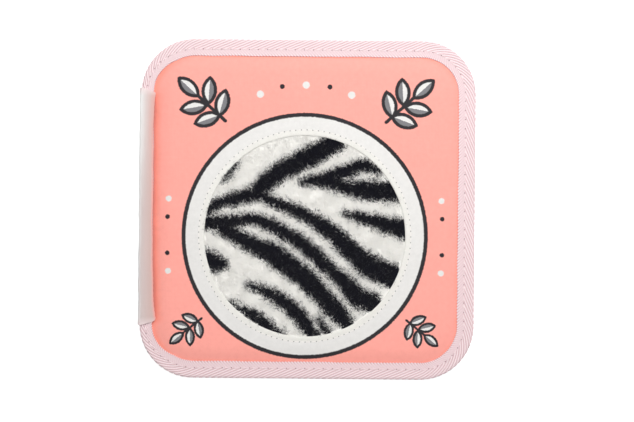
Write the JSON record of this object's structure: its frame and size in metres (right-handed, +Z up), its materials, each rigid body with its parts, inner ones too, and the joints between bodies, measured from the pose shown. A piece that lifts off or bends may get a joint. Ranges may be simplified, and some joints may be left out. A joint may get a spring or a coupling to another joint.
{
  "type": "crinkle cloth book",
  "caption": "Square padded cloth book with rounded tape-bound leaves that turn about a sewn spine, crinkle film inside and a round plush window in the cover.",
  "frame": {"origin": "centre of the closed book's underside, where its back cover rests", "axes": "+Z up through the closed book, +Y towards the head of the page, +X away from the spine"},
  "size_m": [0.1586, 0.16, 0.0201],
  "materials": {
    "coral_cloth": "printed microfibre",
    "blush_cloth": "printed microfibre",
    "grey_cloth": "printed microfibre",
    "cream_cloth": "printed microfibre",
    "white_cotton": "plain cotton cloth",
    "binding_tape": "herringbone cotton tape",
    "batting": "lofty white polyester",
    "crinkle_film": "thin crisp film",
    "plush": "short pile, printed with stripes"
  },
  "bodies": {
    "back_cover": {"back_cover_upper_cloth": "cream_cloth", "back_cover_lower_cloth": "coral_cloth", "back_cover_film": "crinkle_film", "back_cover_batting": "batting", "back_cover_tape": "binding_tape", "back_cover_hinge_strip": "white_cotton"},
    "leaf_b": {"leaf_b_upper_cloth": "grey_cloth", "leaf_b_lower_cloth": "blush_cloth", "leaf_b_film": "crinkle_film", "leaf_b_batting": "batting", "leaf_b_tape": "binding_tape", "leaf_b_hinge_strip": "white_cotton"},
    "leaf_a": {"leaf_a_upper_cloth": "blush_cloth", "leaf_a_lower_cloth": "cream_cloth", "leaf_a_film": "crinkle_film", "leaf_a_batting": "batting", "leaf_a_tape": "binding_tape", "leaf_a_hinge_strip": "white_cotton"},
    "front_cover": {"front_cover_upper_cloth": "coral_cloth", "front_cover_lower_cloth": "grey_cloth", "front_cover_film": "crinkle_film", "front_cover_batting": "batting", "front_cover_tape": "binding_tape", "front_cover_hinge_strip": "white_cotton", "plush_patch": "plush"}
  },
  "joints": [
    {"name": "leaf_b_turn", "type": "hinge", "parent": "back_cover", "child": "leaf_b", "pos_m": [-0.0794, 0, 0.01005], "axis": [0, -1, 0], "range_deg": [0, 180]},
    {"name": "leaf_a_turn", "type": "hinge", "parent": "leaf_b", "child": "leaf_a", "pos_m": [-0.0794, 0, 0.01005], "axis": [0, -1, 0], "range_deg": [0, 180]},
    {"name": "front_cover_turn", "type": "hinge", "parent": "leaf_a", "child": "front_cover", "pos_m": [-0.0794, 0, 0.01005], "axis": [0, -1, 0], "range_deg": [0, 180]}
  ]
}
